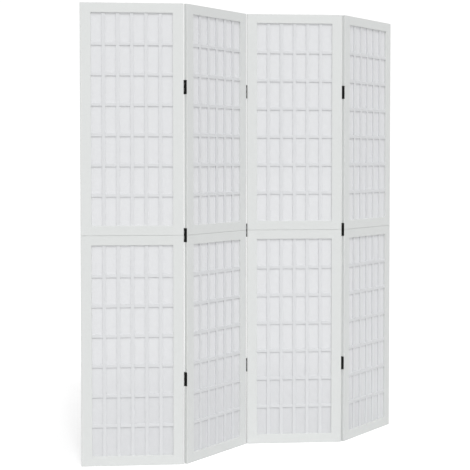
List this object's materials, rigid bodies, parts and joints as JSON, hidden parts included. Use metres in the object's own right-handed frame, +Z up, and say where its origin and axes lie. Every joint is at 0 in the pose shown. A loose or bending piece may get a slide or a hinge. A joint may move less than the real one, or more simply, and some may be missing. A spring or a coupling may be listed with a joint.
{
  "type": "folding screen",
  "caption": "Free-standing folding room divider: white-painted lattice frames backed with white paper, joined edge to edge by small black hinges and set up in a zigzag.",
  "frame": {"origin": "on the floor, in the middle of the screen as it stands in its zigzag", "axes": "+Z up the panels; +X along the row of panels, from the first to the last; -Y towards the front, where the lattice stands before the paper"},
  "size_m": [1.4856, 0.178, 1.8],
  "materials": {
    "painted_frame": "white satin paint over sanded softwood",
    "painted_lattice": "white satin paint over thin sawn strips",
    "paper": "matt white long-fibre paper, slightly translucent",
    "bare_wood": "plain turned hardwood",
    "black_hinges": "satin black coating on steel",
    "black_screws": "satin black coating on steel, slotted heads"
  },
  "bodies": {
    "panel_1": {"panel_1_lower_left_stile": "painted_frame", "panel_1_lower_right_stile": "painted_frame", "panel_1_lower_top_rail": "painted_frame", "panel_1_lower_bottom_rail": "painted_frame", "panel_1_upper_left_stile": "painted_frame", "panel_1_upper_right_stile": "painted_frame", "panel_1_upper_top_rail": "painted_frame", "panel_1_upper_bottom_rail": "painted_frame", "panel_1_vertical_bars": "painted_lattice", "panel_1_horizontal_bars": "painted_lattice", "panel_1_paper": "paper", "panel_1_dowels": "bare_wood", "panel_1_hinge_screws": "black_screws", "joint_1_left_leaves": "black_hinges"},
    "panel_2": {"panel_2_lower_left_stile": "painted_frame", "panel_2_lower_right_stile": "painted_frame", "panel_2_lower_top_rail": "painted_frame", "panel_2_lower_bottom_rail": "painted_frame", "panel_2_upper_left_stile": "painted_frame", "panel_2_upper_right_stile": "painted_frame", "panel_2_upper_top_rail": "painted_frame", "panel_2_upper_bottom_rail": "painted_frame", "panel_2_vertical_bars": "painted_lattice", "panel_2_horizontal_bars": "painted_lattice", "panel_2_paper": "paper", "panel_2_dowels": "bare_wood", "panel_2_hinge_screws": "black_screws", "panel_2_hinge_pins": "black_hinges", "joint_1_right_leaves": "black_hinges", "joint_2_left_leaves": "black_hinges"},
    "panel_3": {"panel_3_lower_left_stile": "painted_frame", "panel_3_lower_right_stile": "painted_frame", "panel_3_lower_top_rail": "painted_frame", "panel_3_lower_bottom_rail": "painted_frame", "panel_3_upper_left_stile": "painted_frame", "panel_3_upper_right_stile": "painted_frame", "panel_3_upper_top_rail": "painted_frame", "panel_3_upper_bottom_rail": "painted_frame", "panel_3_vertical_bars": "painted_lattice", "panel_3_horizontal_bars": "painted_lattice", "panel_3_paper": "paper", "panel_3_dowels": "bare_wood", "panel_3_hinge_screws": "black_screws", "panel_3_hinge_pins": "black_hinges", "joint_2_right_leaves": "black_hinges", "joint_3_left_leaves": "black_hinges"},
    "panel_4": {"panel_4_lower_left_stile": "painted_frame", "panel_4_lower_right_stile": "painted_frame", "panel_4_lower_top_rail": "painted_frame", "panel_4_lower_bottom_rail": "painted_frame", "panel_4_upper_left_stile": "painted_frame", "panel_4_upper_right_stile": "painted_frame", "panel_4_upper_top_rail": "painted_frame", "panel_4_upper_bottom_rail": "painted_frame", "panel_4_vertical_bars": "painted_lattice", "panel_4_horizontal_bars": "painted_lattice", "panel_4_paper": "paper", "panel_4_dowels": "bare_wood", "panel_4_hinge_screws": "black_screws", "joint_3_right_leaves": "black_hinges"}
  },
  "joints": [
    {"name": "fold_1", "type": "hinge", "parent": "panel_2", "child": "panel_1", "pos_m": [-0.37239, -0.0754, 0.9], "axis": [0, 0, -1], "range_deg": [-49, 131]},
    {"name": "fold_2", "type": "hinge", "parent": "panel_2", "child": "panel_3", "pos_m": [0, 0.0754, 0.9], "axis": [0, 0, -1], "range_deg": [-49, 131]},
    {"name": "fold_3", "type": "hinge", "parent": "panel_3", "child": "panel_4", "pos_m": [0.37239, -0.0754, 0.9], "axis": [0, 0, 1], "range_deg": [-49, 131]}
  ]
}
